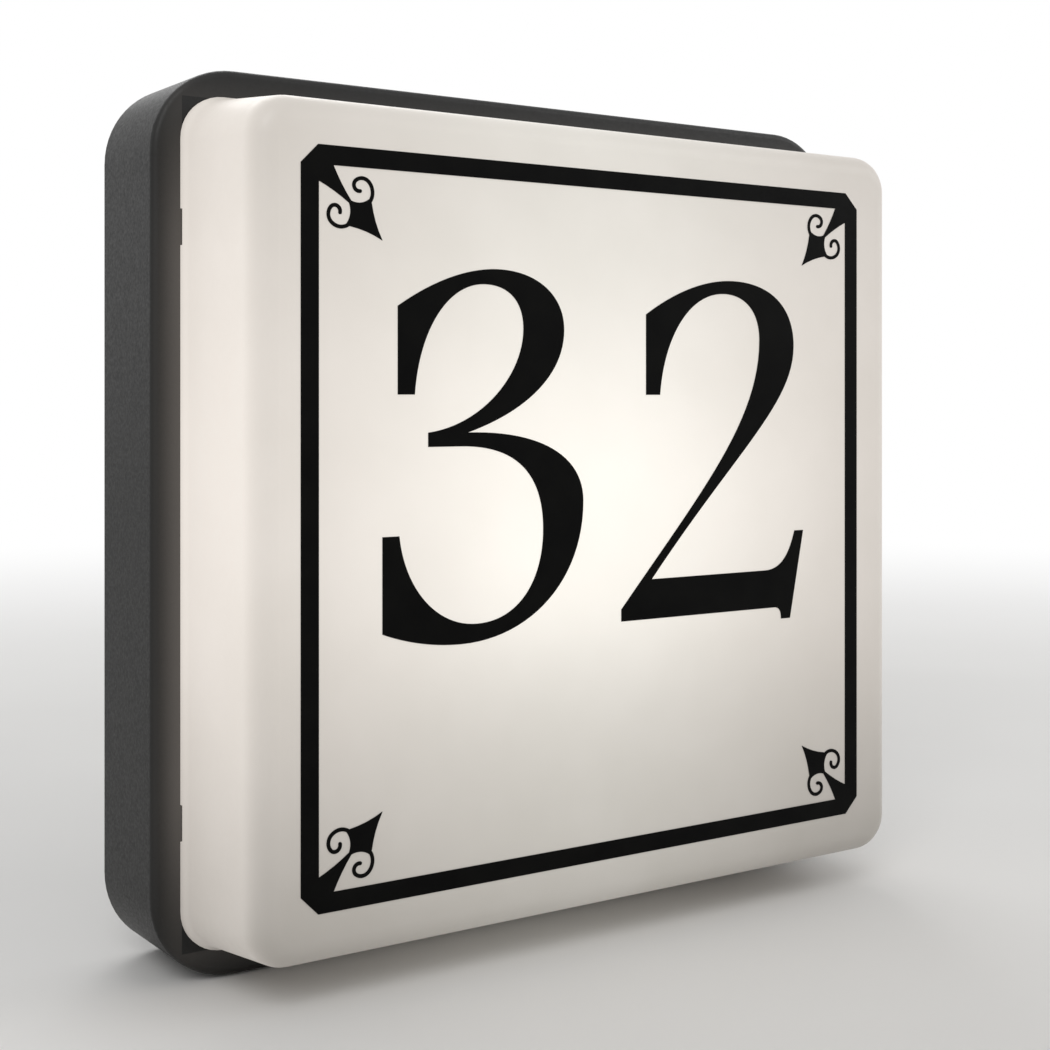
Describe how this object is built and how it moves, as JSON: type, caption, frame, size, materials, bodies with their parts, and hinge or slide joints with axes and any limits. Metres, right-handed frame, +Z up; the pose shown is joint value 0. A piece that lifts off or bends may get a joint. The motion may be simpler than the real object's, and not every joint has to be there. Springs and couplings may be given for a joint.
{
  "type": "illuminated house number sign",
  "caption": "Square wall light box: a black tray, a lift-off opal cover with black cut film, and inside a screw-in lamp, its holder, terminals and wiring.",
  "frame": {"origin": "middle of the pad at the back of the tray, in the plane that rests on the wall", "axes": "+X to the right and +Z up for someone facing the sign; +Y points into the wall, so the face looks along -Y"},
  "size_m": [0.28, 0.0852, 0.28],
  "materials": {
    "housing_black": "fine moulded grain",
    "opal_acrylic": "satin, translucent and lit from inside",
    "film_black": "satin cut film",
    "rubber_black": "matt",
    "spring_steel": "rolled strip",
    "zinc_steel": "zinc plated",
    "white_plate": "satin powder coat",
    "galvanised_steel": "galvanised sheet",
    "porcelain": "clear glaze",
    "nickel_brass": "nickel plated",
    "brass": "plain",
    "lamp_dome": "opal, lit",
    "lamp_neck": "smooth",
    "lamp_board": "white solder mask",
    "insulator_black": "glassy",
    "solder": "bright solder",
    "terminal_plastic": "moulded",
    "grey_plastic": "moulded",
    "sheath_brown": "smooth sheath",
    "sheath_blue": "smooth sheath",
    "sheath_green": "green and yellow sheath",
    "tinned_copper": "tinned"
  },
  "bodies": {
    "base": {"base_housing": "housing_black", "cover_seal": "rubber_black", "cable_grommet": "rubber_black", "cover_clips": "spring_steel", "clip_screws": "zinc_steel", "reflector_plate": "white_plate", "reflector_screws": "zinc_steel", "holder_body": "porcelain", "holder_shell": "nickel_brass", "holder_contact": "brass", "holder_terminal_screws": "brass", "holder_bracket": "galvanised_steel", "bracket_screws": "zinc_steel", "holder_screws": "zinc_steel", "terminal_block": "terminal_plastic", "terminal_inserts": "brass", "terminal_screws": "zinc_steel", "terminal_block_screw": "zinc_steel", "cable_clamp": "grey_plastic", "clamp_screws": "zinc_steel", "earth_tag": "tinned_copper", "earth_screw": "zinc_steel", "live_wire": "sheath_brown", "neutral_wire": "sheath_blue", "earth_wire": "sheath_green"},
    "cover": {"diffuser": "opal_acrylic", "border_film": "film_black"},
    "bulb_core": {"bulb_contact": "solder", "bulb_insulator": "insulator_black"},
    "bulb": {"bulb_cap": "nickel_brass", "bulb_housing": "lamp_neck", "bulb_board": "lamp_board", "bulb_globe": "lamp_dome"}
  },
  "joints": [
    {"name": "cover_pull", "type": "slide", "parent": "base", "child": "cover", "axis": [0, -1, 0], "range_m": [0, 0.1], "deforming": ["cover_clips"]},
    {"name": "bulb_out", "type": "slide", "parent": "base", "child": "bulb_core", "axis": [-1, 0, 0], "range_m": [0, 0.0255]},
    {"name": "bulb_turn", "type": "hinge", "parent": "bulb_core", "child": "bulb", "pos_m": [0, -0.04565, 0], "axis": [-1, 0, 0], "range_deg": [0, 2520]}
  ],
  "couplings": [
    {"joint": "bulb_out", "follows": "bulb_turn", "m_per_rad": 0.00057757}
  ]
}
